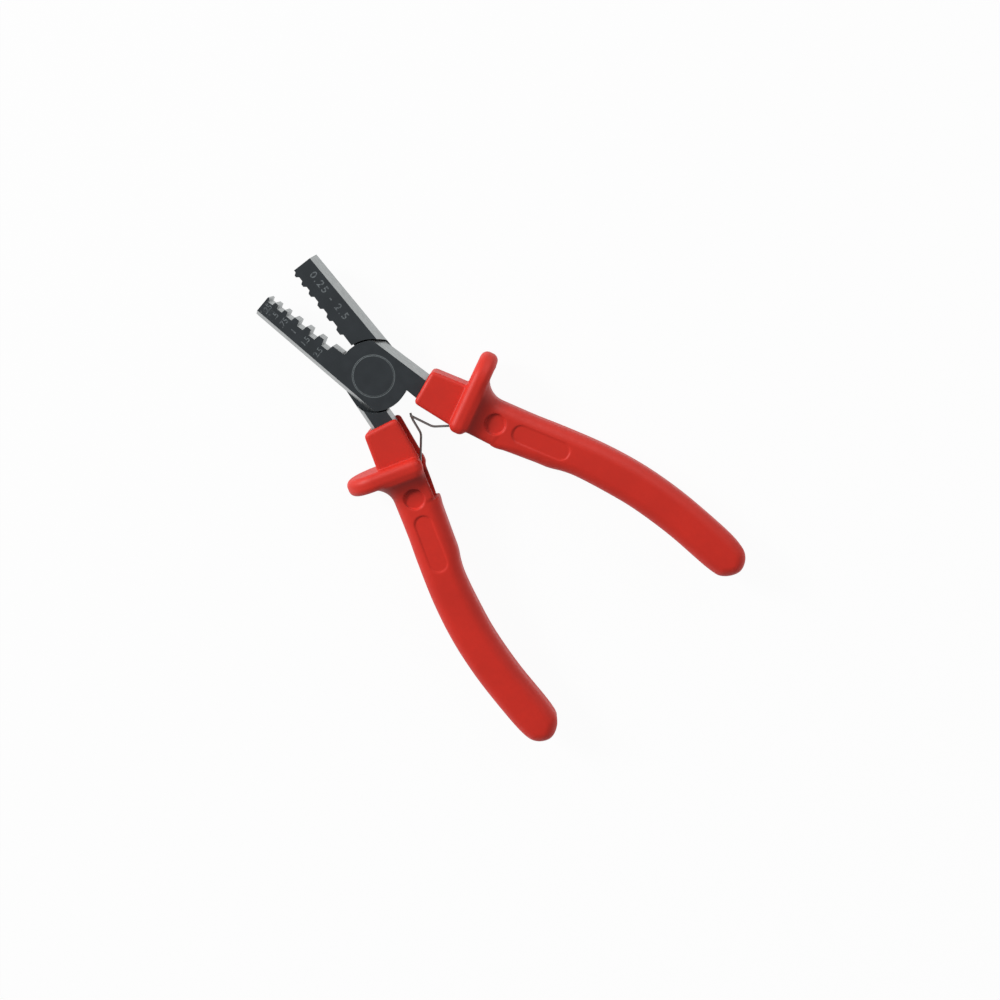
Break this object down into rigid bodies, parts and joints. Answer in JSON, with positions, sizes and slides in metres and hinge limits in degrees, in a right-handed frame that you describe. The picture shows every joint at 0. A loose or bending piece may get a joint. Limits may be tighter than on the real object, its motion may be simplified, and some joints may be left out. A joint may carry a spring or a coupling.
{
  "type": "crimping pliers",
  "caption": "Compact crimping pliers with a row of stepped dies in the jaws, a lap joint with a flush rivet, guarded moulded grips and hooked wire springs that open them.",
  "frame": {"origin": "the rivet's axis at the back face of the steel", "axes": "+X between the jaws towards their tips, +Y towards the front jaw, +Z out of the front face"},
  "size_m": [0.1486, 0.0847, 0.0166],
  "materials": {
    "forged_steel": "blackened, with the bevelled outer sides and die edges ground bright",
    "rivet_steel": "blackened, ground flush with the forgings",
    "grip_plastic": "moulded red plastic, satin",
    "spring_steel": "bright drawn wire"
  },
  "bodies": {
    "back_side": {"back_half": "forged_steel", "pivot_rivet": "rivet_steel", "back_grip": "grip_plastic", "back_spring": "spring_steel"},
    "front_side": {"front_half": "forged_steel", "front_grip": "grip_plastic", "front_spring": "spring_steel"}
  },
  "joints": [
    {"name": "pivot", "type": "hinge", "parent": "back_side", "child": "front_side", "pos_m": [0, 0, 0.004], "axis": [0, 0, -1], "range_deg": [0, 16.4], "stiffness_Nm_per_rad": 1.2, "springref_deg": -6.88, "deforming": ["front_spring", "back_spring"]}
  ]
}
